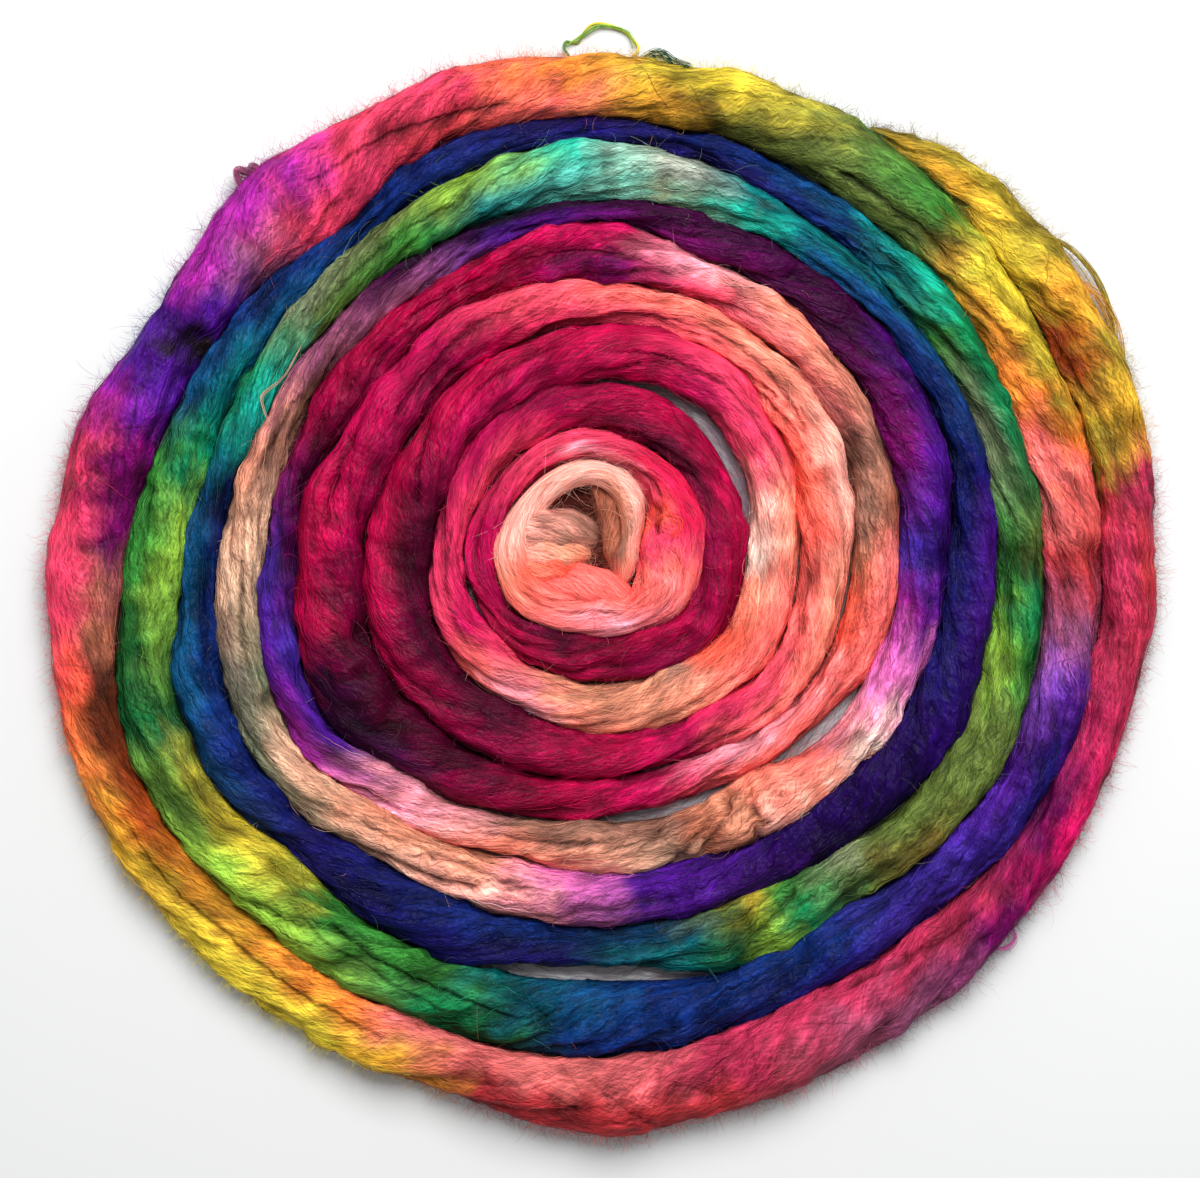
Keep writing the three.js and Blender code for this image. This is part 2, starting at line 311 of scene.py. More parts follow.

# Dye baths, as they look on the silk, in display red, green and blue; the brown of (92, 48, 40) is painted shade on
# the bed of the heart's hollow, and umber is partly painted shade
DYES = {
    "cream": (238, 206, 194), "pale peach": (242, 176, 164), "peach": (240, 154, 134),
    "tan": (214, 154, 130), "beige": (206, 170, 148), "taupe": (160, 122, 108), "umber": (168, 112, 92),
    "brown": (92, 60, 50), "bark": (92, 48, 40), "soot": (46, 30, 34), "coral": (240, 112, 94),
    "salmon": (240, 128, 122), "rose": (216, 84, 114), "cerise": (202, 46, 90),
    "pale pink": (238, 164, 176), "dusty pink": (206, 122, 120), "hot pink": (182, 34, 100),
    "crimson": (164, 12, 80), "magenta": (140, 6, 78), "wine": (90, 4, 56), "dark plum": (80, 8, 74),
    "plum": (116, 14, 100), "orchid": (162, 54, 152), "orchid pink": (228, 134, 190),
    "violet": (92, 38, 138), "blue violet": (82, 58, 148), "deep violet": (54, 20, 96),
    "midnight": (38, 12, 60), "lavender": (140, 92, 176), "mauve": (158, 98, 128),
    "indigo": (46, 40, 108), "navy": (24, 38, 90), "cobalt": (32, 64, 122), "steel blue": (32, 92, 126),
    "teal": (24, 122, 122), "turquoise": (44, 168, 150), "aqua": (112, 192, 178),
    "emerald": (32, 134, 92), "grass": (74, 136, 70), "forest": (40, 104, 66), "lime": (148, 180, 82),
    "moss": (108, 122, 70), "sage": (132, 138, 114), "ash": (118, 110, 100), "silver": (176, 178, 166),
    "ash lilac": (190, 172, 184), "olive": (164, 148, 64), "olive brown": (118, 100, 54),
    "dark olive": (86, 78, 30), "yellow": (214, 194, 80), "gold": (206, 160, 70),
    "orange": (234, 142, 76), "rust": (160, 84, 42), "brick": (170, 68, 74), "raspberry": (176, 66, 98),
}
DYE_DEPTH = 3.0
DYE_BRIGHTNESS = 1.24

# Where each dye was laid along the strand, turn by turn: azimuth, dye of the inner side, and dye of the
# outer side if it is another
DYE_CHART = [
    {
        -60: "peach", 30: "taupe/pale peach", 75: "tan/pale peach", 95: "pale peach", 170: "pale peach",
        195: "coral/peach", 225: "salmon", 290: "salmon/pale pink", 340: "salmon",
    },
    {
        15: "rose", 32: "coral/cerise", 60: "rose/cerise", 85: "pale pink/rose", 115: "rose",
        165: "hot pink", 215: "magenta/crimson", 250: "wine/crimson", 300: "crimson/magenta",
    },
    {
        0: "magenta/crimson", 70: "wine/crimson", 110: "crimson/magenta", 142: "rose/hot pink",
        205: "hot pink/rose", 220: "rose/salmon", 240: "dusty pink/pale pink", 260: "tan/peach",
        292: "tan", 307: "taupe/peach", 325: "coral/salmon", 350: "peach/salmon",
    },
    {
        0: "cream/peach", 15: "pale peach/peach", 38: "rose", 58: "hot pink/rose", 78: "crimson",
        110: "hot pink/crimson", 168: "wine/crimson", 240: "wine/magenta", 275: "crimson",
        295: "hot pink", 322: "rose/salmon", 348: "salmon/peach",
    },
    {
        20: "coral/pale peach", 50: "salmon/peach", 82: "rose/salmon", 112: "crimson/rose",
        128: "magenta/hot pink", 172: "magenta/crimson", 195: "wine/crimson", 206: "wine/dark plum",
        225: "wine/dark plum", 240: "wine/magenta", 262: "crimson", 285: "hot pink",
        308: "pale pink/salmon", 345: "coral/salmon",
    },
    {
        0: "umber/dusty pink", 12: "taupe/umber", 24: "brown/taupe", 52: "dusty pink/peach",
        70: "rose/pale pink", 86: "plum/hot pink", 110: "crimson", 140: "magenta/crimson",
        160: "wine/magenta", 178: "plum/blue violet", 194: "blue violet/violet", 214: "violet/orchid",
        # From 290 to 301.5 the umber and brown lie in the valleys between the knobs of the twist: painted shade there
        230: "pale pink", 250: "taupe/peach", 284: "taupe/beige", 290: "umber", 297: "tan",
        301.5: "umber/brown", 306: "peach/pale peach", 316: "salmon/peach", 326: "pale pink/cream",
        338: "orchid pink", 350: "orchid/violet",
    },
    {
        0: "blue violet/deep violet", 20: "plum/violet", 45: "dark plum", 80: "plum/dark plum",
        106: "violet/midnight", 128: "mauve/dark plum", 146: "brown/mauve", 164: "taupe/tan",
        178: "beige", 198: "sage/ash", 213: "beige/sage", 228: "tan/beige", 250: "tan/pale peach",
        264: "orchid pink/mauve", 278: "violet", 306: "deep violet/midnight", 330: "deep violet",
        345: "indigo/deep violet",
    },
    {
        0: "indigo/violet", 14: "navy/indigo", 34: "cobalt/steel blue", 54: "steel blue/teal",
        66: "turquoise/teal", 80: "sage/silver", 94: "aqua/turquoise", 107: "teal/lime",
        120: "grass/moss", 140: "moss/sage", 152: "turquoise/emerald", 170: "navy/steel blue",
        200: "cobalt/steel blue", 225: "indigo", 264: "cobalt/indigo", 280: "steel blue/teal",
        288: "moss/forest", 294: "olive/lime", 300: "grass/emerald", 310: "sage/moss",
        318: "moss/olive brown", 328: "moss", 338: "moss", 346: "lime/grass", 355: "grass/emerald",
    },
    {
        0: "grass/moss", 20: "sage/emerald", 34: "grass/emerald", 44: "teal/turquoise",
        54: "cobalt/steel blue", 70: "indigo/cobalt", 90: "indigo/deep violet", 125: "cobalt",
        145: "steel blue/cobalt", 156: "teal/steel blue", 166: "emerald/grass", 177: "lime/grass",
        200: "forest", 218: "yellow/lime", 232: "grass/lime", 249: "grass/emerald", 257: "teal/forest",
        266: "steel blue/cobalt", 277: "cobalt", 300: "cobalt/indigo", 318: "blue violet",
        334: "violet/indigo", 343: "lavender/violet", 351: "mauve",
    },
    {
        0: "brick", 8: "dusty pink/salmon", 15: "salmon/orange", 22: "orange/olive", 35: "gold/yellow",
        46: "moss/grass", 60: "moss", 75: "dark olive/yellow", 84: "gold/olive", 96: "salmon/orange",
        108: "brick/rose", 122: "raspberry/rose", 131: "rose/orchid", 138: "mauve/orchid",
        # From 151 to 154 the inner side is near black, where the deep pit at 152 degrees is
        146: "violet/orchid", 148.5: "violet", 151: "soot/violet", 154: "soot/violet", 156.5: "violet",
        160: "violet/orchid", 168: "plum/raspberry", 177: "plum/rose", 186: "umber/rose",
        194: "brown/coral", 208: "rust/gold", 226: "gold/yellow", 240: "orange/yellow",
        248: "dusty pink/gold", 257: "dusty pink/brick", 268: "dusty pink/brick", 283: "raspberry/brick",
        304: "raspberry/mauve", 318: "raspberry/plum", 330: "plum/hot pink", 346: "raspberry",
    },
    {
        0: "raspberry/brick", 7: "brick/raspberry", 12: "olive/gold", 22: "rust/olive", 28: "rust/gold",
        36: "yellow/olive", 48: "gold/olive", 58: "olive/olive brown",
    },
]

# Seeded unevenness of the silk: millimetres to one waver in each of two directions, and the seed
RIPPLES = {
    "locks": (60, 5.5, 1), "strands": (26, 2.7, 2), "lumps": (13, 10, 3), "drift": (11, 7, 5),
    "swells": (34, 20, 6), "crimps": (4.6, 5, 7), "pinches": (10, 17, 8), "pit edges": (4, 4, 9),
    "streaks": (24, 1.9, 11), "blots": (13, 9, 12), "strays": (22, 4, 13), "shades": (9, 6, 14),
    "small blots": (6, 5, 15), "crossing strays": (9, 7, 16), "small shades": (4, 4, 17),
    "flecks": (8, 3.6, 18),
}
LATTICE = 256
CREASE_WAVER = 14 * MM

# How far the silk's unevenness stands out, in millimetres, and its share in the heart
LOCKS = 4.5
STRANDS = 1.8
SWELLS = 1.6
LUMPS = 1.9
PINCHES = 1.3
CRIMPS = 0.8
HEART_FOLD_LUMPS = 1.3
HEART_SHARE = 0.35

# How far the relief may go in at the strand's sides and on top, and how far out
DIP_AT_SIDES = 0.2 * MM
DIP_ON_TOP = 4.5 * MM
HIGHEST_RIDGE = 2.4 * MM

# How far dyes are drawn along the silk in millimetres, and how much they stray and vary in depth; and the darkest
# painted shade, low on the strand's sides in the seams between turns
DYE_REACH = 6
DYE_STRAY = 0.3
DYE_UNEVENNESS = 0.24
DARKEST_PAINTED_SHADE = 0.06

# Sampling of the silk's pieces
BODY_ROWS = 3600
UPPER_COLUMNS = 25
UPPER_FROM = -40 * DEG
UPPER_TO = 220 * DEG
FOLD_ROWS = 60
FIBRE_POINTS = 12
TUFT_POINTS = 14
LINT_POINTS = 5

# Locks of fibres along the strand: name, the least and most of their length, thickness and lift,
# how far they lean, and the seed
FIBRES_A_PIECE = 1800
FIBRE_LAYERS = [
    ("combed_fibres", (18 * MM, 34 * MM), (0.16 * MM, 0.3 * MM), (0.2 * MM, 0.8 * MM), 0.35, 31),
    ("leaning_fibres", (16 * MM, 32 * MM), (0.14 * MM, 0.26 * MM), (0.3 * MM, 1.2 * MM), 0.8, 41),
    ("crossing_fibres", (14 * MM, 28 * MM), (0.12 * MM, 0.22 * MM), (0.5 * MM, 2.0 * MM), 1.3, 51),
]
CRIMP_WAVES = (5 * MM, 9 * MM)
LEAST_CRIMP = 0.2
TUFT_THICKNESS = (0.2 * MM, 0.4 * MM)
LOWEST_LOCK = 0.4 * MM

# Fine hairs: points of each, then the least and most of their length, thickness and steepness
Hairs = namedtuple("Hairs", "points length thickness steepness")
LOOSE_HAIRS = Hairs(6, (3 * MM, 20 * MM), (0.09 * MM, 0.17 * MM), (0.1, 1.2))
HEART_HAIRS = Hairs(6, (3 * MM, 11 * MM), (0.08 * MM, 0.15 * MM), (0.1, 1.2))
EDGE_FUZZ = Hairs(5, (1.5 * MM, 11.5 * MM), (0.1 * MM, 0.17 * MM), (0.4, 2.6))
LOOSE_COUNT = 5500
HEART_COUNT = 400
FUZZ_COUNT = 10500
FUZZ_WINDING = 375
HAIR_BEND = (0.2, 3.2)
HAIR_STRAY = 0.9
ROOT_DEPTH = 0.4 * MM
LOWEST_HAIR = 0.3 * MM
HIGHEST_HAIR = 25 * MM

# Stray fibres in the slits: how many to a degree of a slit one millimetre wide, their size and dye
LINT = 2.2
LINT_LENGTH = (6 * MM, 15 * MM)
LINT_THICKNESS = (0.07 * MM, 0.14 * MM)
LINT_LEVEL = (0.3 * MM, 2.5 * MM)
LINT_DYE = "ash lilac"
LINT_OWN_SHARE = 0.15

Surface = namedtuple("Surface", "points normals along winding turned flow dyes colours")


def smooth(value, low, high):
    """A soft step from 0 at low to 1 at high."""
    share = np.clip((value - low) / (high - low), 0, 1)
    return share * share * (3 - 2 * share)


def ripple(first, second, seed):
    """A smooth random value between -1 and 1 over a plane, one waver in each unit of either measure."""
    lattice = np.random.default_rng(seed).uniform(-1, 1, (LATTICE, LATTICE))
    first, second = np.broadcast_arrays(first, second)
    row = np.floor(first).astype(int)
    column = np.floor(second).astype(int)
    down = smooth(first - row, 0, 1)
    over = smooth(second - column, 0, 1)

    def along_row(row):
        start = lattice[row % LATTICE, column % LATTICE]
        return start * (1 - over) + lattice[row % LATTICE, (column + 1) % LATTICE] * over

    return along_row(row) * (1 - down) + along_row(row + 1) * down


def rippled(name, first, second):
    """One of the silk's named ripples, over two lengths."""
    long, wide, seed = RIPPLES[name]
    return ripple(first / (long * MM), second / (wide * MM), seed)


def unit(vectors):
    """The same directions, one metre long."""
    return vectors / np.maximum(np.linalg.norm(vectors, axis=-1, keepdims=True), 1e-9)


def curve_through(knots, place):
    """Values of a smooth curve through knots, at places counted in knots from the first."""
    last = len(knots) - 1
    first = np.minimum(place.astype(int), last - 1)
    share = (place - first).reshape(place.shape + (1,) * (knots.ndim - 1))
    before, start, end, after = (knots[np.clip(first + i, 0, last)] for i in (-1, 0, 1, 2))
    leaving = (end - before) / 2
    arriving = (after - start) / 2
    cubic = 2 * (start - end) + leaving + arriving
    square = 3 * (end - start) - 2 * leaving - arriving
    return start + share * (leaving + share * (square + share * cubic))


def smooth_route(corners, count):
    """Points on a smooth curve through a route's corners, and the length along it at each."""
    corners = np.array(corners, float) * MM + np.append(COIL_MIDDLE, 0)
    line = curve_through(corners, np.linspace(0, len(corners) - 1, count))
    steps = np.linalg.norm(np.diff(line, axis=0), axis=1)
    return line, np.concatenate([[0], np.cumsum(steps)])


# The winding


def seam_radius(winding):
    """Radius of the seam outside the strand at each place of its winding."""
    place = np.clip((winding - SEAM_START) / SEAM_PITCH, 0, len(SEAM_KNOTS) - 1)
    radius = curve_through(SEAM_KNOTS, place)
    for seam, azimuth, spread, rise in BULGES:
        radius += rise * MM * np.exp(-(((winding - 360 * seam - azimuth) / spread) ** 2))
    return radius


def slit_width(winding):
    """Width of the open slit outside the strand at each place of its winding."""
    width = np.zeros_like(winding)
    for seam, start, end, open_by in SLITS:
        share = np.clip((winding - 360 * seam - start) / (end - start), 0, 1)
        width = np.maximum(width, open_by * MM * np.sqrt(np.abs(np.sin(math.pi * share))))
    return width


def strand_size(winding):
    """Radius of the strand's middle and half its width at each place of its winding."""
    inner = seam_radius(winding - 360) + (TURN_CLEARANCE + slit_width(winding - 360)) / 2
    outer = seam_radius(winding) - (TURN_CLEARANCE + slit_width(winding)) / 2
    return (inner + outer) / 2, (outer - inner) / 2


def even_rows(count):
    """Windings at even steps along the strand, and the length along it at each."""
    fine = np.linspace(START, END, 8 * count)
    middle, _ = strand_size(fine)
    azimuth = np.radians(fine)
    steps = np.hypot(np.diff(middle * np.cos(azimuth)), np.diff(middle * np.sin(azimuth)))
    along = np.concatenate([[0], np.cumsum(steps)])
    even = np.linspace(0, along[-1], count)
    return np.interp(even, along, fine), even


def unevenness(along, waves):
    """Slow swings along the strand."""
    return sum(np.sin(along / wave + i) for i, wave in enumerate(waves))


def swing(along):
    """How far the strand's folds have turned about it, in radians."""
    return FOLD_TWIST * along + FOLD_SWING * unevenness(along, FOLD_WAVES)


def in_turns(winding, levels):
    """A level given for the middle of each turn, at places of the winding."""
    return np.interp(winding / 360 - 0.5, np.arange(len(levels)), levels)


def relief(winding, along, turned, across, half):
    """How far the silk stands out of the plain section: locks, creases, lumps and crimps."""
    around = (turned - swing(along)) * SECTION_RADIUS
    around = around + 1.4 * MM * rippled("drift", along, around)
    locks = np.abs(rippled("locks", along, around)) ** 0.7 - 0.45
    strands = np.abs(rippled("strands", along, around)) - 0.35
    swells = rippled("swells", along, around)
    lumps = rippled("lumps", along, around)
    pinches = np.abs(rippled("pinches", along, around)) ** 0.6 - 0.5
    crimps = rippled("crimps", along, around)
    folded = HEART_SHARE + (1 - HEART_SHARE) * smooth(winding, 100, 500)
    out = folded * (LOCKS * locks + STRANDS * strands + SWELLS * swells) * MM
    out += in_turns(winding, LUMPINESS) * (LUMPS * lumps + PINCHES * pinches + CRIMPS * crimps) * MM
    for away, deep, wide, _ in troughs(winding, along, across, half):
        out -= deep * np.exp(-((away / wide) ** 2))
    radius, _ = strand_size(winding)
    edge = 0.8 * MM * rippled("pit edges", along, around)
    for turn, azimuth, middle, depth, wide in PITS:
        ahead = np.radians(winding - 360 * turn - azimuth) * radius
        away = np.hypot(ahead, (across - middle) * half) + edge
        out -= depth * MM * np.exp(-((away / (wide * MM)) ** 2))
    return out


def troughs(winding, along, across, half):
    """How far each place is from each main crease, its depth there, its half width and how crisp it is."""
    waver = 0.12 * ripple(along / CREASE_WAVER, 0.5, 4)
    radius, _ = strand_size(winding)
    for turn, start, end, first, last, depth, wide in CREASES:
        share = (winding - 360 * turn - start) / (end - start)
        line = first + (last - first) * np.clip(share, 0, 1) + waver
        steep = (last - first) * half / ((end - start) * DEG * radius)
        away = (across - line) * half / np.hypot(1, steep)
        ends = smooth(share, -0.05, 0.15) * smooth(-share, -1.05, -0.85)
        yield away, depth * MM * ends, wide * MM, 1 / (1 + 3 * steep**2)


def crease_marks(surface):
    """Distance to the main creases and how deep they are, at most three at a place, for the material, which paints
    shade and sinks bumps along them.
    """
    _, across, _ = section()
    _, half = strand_size(surface.winding)
    away = np.zeros(surface.points.shape)
    deep = np.zeros(surface.points.shape)
    parts = troughs(surface.winding[:, None], surface.along[:, None], across, half[:, None])
    for number, (distance, depth, _, crisp) in enumerate(parts):
        rows = depth[:, 0] > 0
        away[rows, :, number % 3] = distance[rows]
        deep[rows, :, number % 3] = (depth * crisp)[rows] / DEEPEST_CREASE
    return away, deep


def with_normals(points):
    """Outward directions of a grid of points, rows along the silk and columns round it."""
    return unit(np.cross(np.gradient(points, axis=0), np.gradient(points, axis=1)))


def section():
    """Angles round the strand's section from the middle of its underside, and its reach to each side and
    height there, both of one at most."""
    upper = np.linspace(UPPER_FROM, UPPER_TO, UPPER_COLUMNS + 1)
    turned = np.concatenate([[-math.pi / 2], upper, [1.5 * math.pi]])
    sine = np.sin(turned)
    cosine = np.cos(turned)
    across = np.sign(cosine) * np.abs(cosine) ** SIDE_FULLNESS
    rise = (1 - WIDEST_AT) * np.abs(sine) ** CROWN_FULLNESS
    drop = WIDEST_AT * np.minimum(1, (np.abs(sine) / BASE_SHARE) ** UNDERSIDE_CURVE)
    return turned, across, WIDEST_AT + np.where(sine > 0, rise, -drop)


def rounded_ends(along, length):
    """Share of the full size at each place of a strand whose ends draw in over a length."""
    nearest = np.minimum(along, along[-1] - along)
    return TIP_SHARE + (1 - TIP_SHARE) * np.sqrt(np.minimum(1, nearest / length))


def stood_out(turned, out, tip):
    """The relief, held within what the section can bear."""
    sine = np.sin(turned)
    deepest = -DIP_AT_SIDES - DIP_ON_TOP * smooth(sine, 0.1, 0.7)
    return np.clip(out, deepest, HIGHEST_RIDGE) * smooth(sine, -0.5, 0.3) * tip[:, None]


def painted_shade(turned, out, lumpy):
    """Painted shade: how much the silk's colour is darkened in its grooves and dips, where shade falls."""
    painted_groove_shade = DARKEST_PAINTED_SHADE + (1 - DARKEST_PAINTED_SHADE) * smooth(np.sin(turned), -0.1, 0.42)
    return painted_groove_shade * (1 - (0.3 + 0.3 * lumpy) * smooth(-out, 0.1 * MM, 2.7 * MM))


def strand_surface():
    """The silk's surface along the whole strand."""
    winding, along = even_rows(BODY_ROWS)
    turned, across, height = section()
    middle, half = strand_size(winding)
    tip = rounded_ends(along, TIP_LENGTH)
    lump = 1 + LUMP_SHARE * unevenness(along, LUMP_WAVES)
    heart = HEART_RISE * np.exp(-((np.maximum(winding, 0) / HEART_REACH) ** 2))
    crown = tip * (USUAL_CROWN * np.sqrt(2 * half / USUAL_WIDTH) * lump + heart)
    half = half * tip
    wide = half[:, None] * across
    high = crown[:, None] * height
    out = relief(winding[:, None], along[:, None], turned, across, half[:, None])
    out = stood_out(turned, out, tip)
    lean = unit(np.stack([wide, high - WIDEST_AT * crown[:, None]], axis=-1))
    radius = middle[:, None] + wide + out * lean[..., 0]
    azimuth = np.radians(winding)[:, None]
    x = COIL_MIDDLE[0] + radius * np.cos(azimuth)
    y = COIL_MIDDLE[1] + radius * np.sin(azimuth)
    points = np.stack([x, y, np.maximum(0, high + out * lean[..., 1])], axis=-1)
    flow = combed(along, winding, turned)
    dyes = streaked_dye(flow, winding, across)
    # The colour is the dye darkened by painted shade in the grooves and dips
    colours = dyes * painted_shade(turned, out, in_turns(winding, LUMPINESS)[:, None])[..., None]
    return Surface(points, with_normals(points), along, winding, turned, flow, dyes, colours)


def fold_surface(route, wide, tall, first_dye, last_dye, seed):
    """The surface of a short fold of silk laid along a route."""
    line, along = smooth_route([(*corner, 0) for corner in route], FOLD_ROWS)
    turned, across, height = section()
    tip = rounded_ends(along, min(2 * wide * MM, 0.3 * along[-1]))
    side = unit(np.cross(np.gradient(line, axis=0), (0, 0, 1)))
    run = along[:, None]
    around = turned * wide * MM + 0.3 * run
    out = HEART_FOLD_LUMPS * ripple(run / (14 * MM), around / (5 * MM), seed)
    out = out + HEART_FOLD_LUMPS * ripple(run / (6 * MM), around / (5 * MM), seed + 2)
    out = stood_out(turned, out * MM, tip)
    reach = (wide * MM * tip)[:, None] * across + out * np.cos(turned)
    level = (tall * MM * tip)[:, None] * height + out * np.sin(turned)
    points = line[:, None] + side[:, None] * reach[..., None]
    points[..., 2] = np.maximum(0, level)
    flow = np.stack(np.broadcast_arrays(run, around, LEAST_CRIMP), axis=-1)
    share = np.linspace(0, 1, FOLD_ROWS)[:, None]
    share = share + 0.3 * ripple(run / (9 * MM), around / (4 * MM), seed + 1)
    share = smooth(share, 0.1, 0.9)[..., None]
    dyes = on_silk(first_dye) * (1 - share) + on_silk(last_dye) * share
    # The colour is the dye darkened by painted shade in the grooves and dips
    colours = dyes * painted_shade(turned, out, 0.5)[..., None]
    return Surface(points, with_normals(points), along, None, turned, flow, dyes, colours)


def at(surface, along, turned):
    """Points, outward directions and dyes of a surface at lengths along it and angles round it."""
    row = np.interp(along, surface.along, np.arange(len(surface.along)))
    column = np.interp(turned, surface.turned, np.arange(len(surface.turned)))
    low_row = np.minimum(row.astype(int), len(surface.along) - 2)
    low_column = np.minimum(column.astype(int), len(surface.turned) - 2)
    down = (row - low_row)[..., None]
    over = (column - low_column)[..., None]

    def blend(grid):
        near = grid[low_row, low_column] * (1 - over) + grid[low_row, low_column + 1] * over
        far = grid[low_row + 1, low_column] * (1 - over) + grid[low_row + 1, low_column + 1] * over
        return near * (1 - down) + far * down

    return blend(surface.points), unit(blend(surface.normals)), blend(surface.dyes)


# Dyeing


def on_silk(name):
    """A dye's linear colour."""
    return DYE_BRIGHTNESS * (np.array(DYES[name]) / 255) ** DYE_DEPTH


def charted(winding, side):
    """Colour that the dye chart gives one side of the strand: 0 for the inner side, -1 for the outer."""
    rows = {}
    for turn, chart in enumerate(DYE_CHART):
        for azimuth, dyes in chart.items():
            rows[360 * turn + azimuth] = on_silk(dyes.split("/")[side])
    colours = np.array(list(rows.values()))
    return np.stack([np.interp(winding, list(rows), colours[:, i]) for i in range(3)], axis=-1)


def dyed(winding, across):
    """Colour of the silk at places of the winding, across the strand from -1 at its inner side to 1."""
    share = smooth(across, -0.6, 0.6)[..., None]
    return charted(winding, 0) * (1 - share) + charted(winding, -1) * share


def crimped(winding):
    """How strongly the fibres are crimped: hardly in the inner turns, and less on the coil's near edge."""
    eased = 0.4 * smooth(winding, 3300, 3420) * smooth(-winding, -3640, -3580)
    return LEAST_CRIMP + (1 - LEAST_CRIMP) * smooth(winding, 900, 2500) - eased


def combed(along, winding, turned):
    """Length along the silk, distance round it following its folds, and how crimped it is."""
    around = (turned - swing(along)[:, None]) * SECTION_RADIUS
    return np.stack(np.broadcast_arrays(along[:, None], around, crimped(winding)[:, None]), axis=-1)


def streaked_dye(flow, winding, across):
    """Dye over the strand, mottled and with its edges drawn out along the fibres."""
    along = flow[..., 0]
    around = flow[..., 1]
    over = along + 0.7 * around
    back = around - 0.6 * along
    mottled = in_turns(winding, MOTTLING)[:, None]
    blots = rippled("blots", over, back) + 0.6 * rippled("small blots", back, over)
    drawn = DYE_REACH * rippled("streaks", along, around) + DYE_REACH * mottled * blots
    radius, _ = strand_size(np.maximum(winding, 30.0))
    place = winding[:, None] + np.degrees(drawn * MM / radius[:, None])
    strays = rippled("strays", along, around) + rippled("crossing strays", back, over)
    depth = rippled("shades", over, back) + 0.7 * rippled("small shades", back, over)
    depth = np.exp(DYE_UNEVENNESS * mottled * (depth + rippled("flecks", along, around)))
    return dyed(place, across + DYE_STRAY * mottled * strays) * depth[..., None]


# Meshes


def finish_piece(piece, material, slot="silk"):
    """Gives a piece its material, its body and its slot."""
    piece.data.materials.clear()
    piece.data.materials.append(material)
    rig.ride(piece, "root")
    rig.slot(piece, slot)


def paint(mesh, colours):
    """Keeps a colour at each of a mesh's points: the silk's dye, with painted shade in the grooves and dips of the
    strand, the heart's folds and the locks of fibres, and painted sheen on the hairs.
    """
    layer = mesh.color_attributes.new("dye", "FLOAT_COLOR", "POINT")
    rgba = np.concatenate([colours, np.ones((len(colours), 1))], axis=1)
    layer.data.foreach_set("color", rgba.astype(np.float32).ravel())


def spindle_piece(name, shapes, material):
    """Closed three-sided fibres with pointed ends, one along each path, joined in one piece."""
    paths, thickness, colours = (np.concatenate(part) for part in zip(*shapes))
    count, points, _ = paths.shape
    rings = points - 2
    forward = unit(np.gradient(paths, axis=1))
    side = unit(np.cross(forward, np.array([0.03, 0.02, 1.0])))
    up = np.cross(side, forward)
    turn = np.radians([90, 210, 330])
    spoke = side[:, 1:-1, None] * np.cos(turn)[:, None] + up[:, 1:-1, None] * np.sin(turn)[:, None]
    ring = paths[:, 1:-1, None] + spoke * thickness[:, 1:-1, None, None] / 2
    places = np.concatenate([paths[:, :1], ring.reshape(count, rings * 3, 3), paths[:, -1:]], axis=1)
    middle = np.repeat(colours[:, 1:-1], 3, axis=1)
    dyes = np.concatenate([colours[:, :1], middle, colours[:, -1:]], axis=1)
    tip = 1 + 3 * rings
    triangles = []
    for corner in range(3):
        after = (corner + 1) % 3
        triangles.append((0, 1 + corner, 1 + after))
        triangles.append((tip - 3 + corner, tip, tip - 3 + after))
        for k in range(rings - 1):
            a, b = 1 + 3 * k + corner, 1 + 3 * k + after
            triangles.append((a, a + 3, b + 3))
            triangles.append((a, b + 3, b))
    every = (np.array(triangles) + (np.arange(count) * (tip + 1))[:, None, None]).reshape(-1, 3)
    mesh = bpy.data.meshes.new(name)
    mesh.vertices.add(count * (tip + 1))
    mesh.vertices.foreach_set("co", places.astype(np.float32).ravel())
    mesh.loops.add(every.size)
    mesh.loops.foreach_set("vertex_index", every.astype(np.int32).ravel())
    mesh.polygons.add(len(every))
    mesh.polygons.foreach_set("loop_start", np.arange(0, every.size, 3, dtype=np.int32))
    mesh.polygons.foreach_set("use_smooth", np.ones(len(every), bool))
    mesh.update(calc_edges=True)
    paint(mesh, dyes.reshape(-1, 3))
    piece = bpy.data.objects.new(name, mesh)
    bpy.context.collection.objects.link(piece)
    finish_piece(piece, material)


def shaped_grid(name, points, colours, marks):
    """A grid bent into a closed length of silk, its side edges sewn together and its ends filled."""
    rows, columns, _ = points.shape
    bpy.ops.object.select_all(action="DESELECT")
    bpy.ops.mesh.primitive_grid_add(x_subdivisions=columns - 1, y_subdivisions=rows - 1, size=1)
    piece = bpy.context.object
    piece.name = name
    mesh = piece.data
    mesh.name = name
    mesh.vertices.foreach_set("co", points.astype(np.float32).ravel())
    paint(mesh, np.clip(colours, 0, 1).reshape(-1, 3))
    for mark, vectors in marks.items():
        layer = mesh.attributes.new(mark, "FLOAT_VECTOR", "POINT")
        layer.data.foreach_set("vector", vectors.astype(np.float32).ravel())
    bpy.ops.object.mode_set(mode="EDIT")
    bpy.ops.mesh.select_all(action="SELECT")
    bpy.ops.mesh.remove_doubles(threshold=0.001 * MM)
    bpy.ops.mesh.fill_holes(sides=0)
    bpy.ops.mesh.select_all(action="SELECT")
    bpy.ops.mesh.normals_make_consistent(inside=False)
    bpy.ops.object.mode_set(mode="OBJECT")
    bpy.ops.object.shade_smooth()
    return piece


# Silk


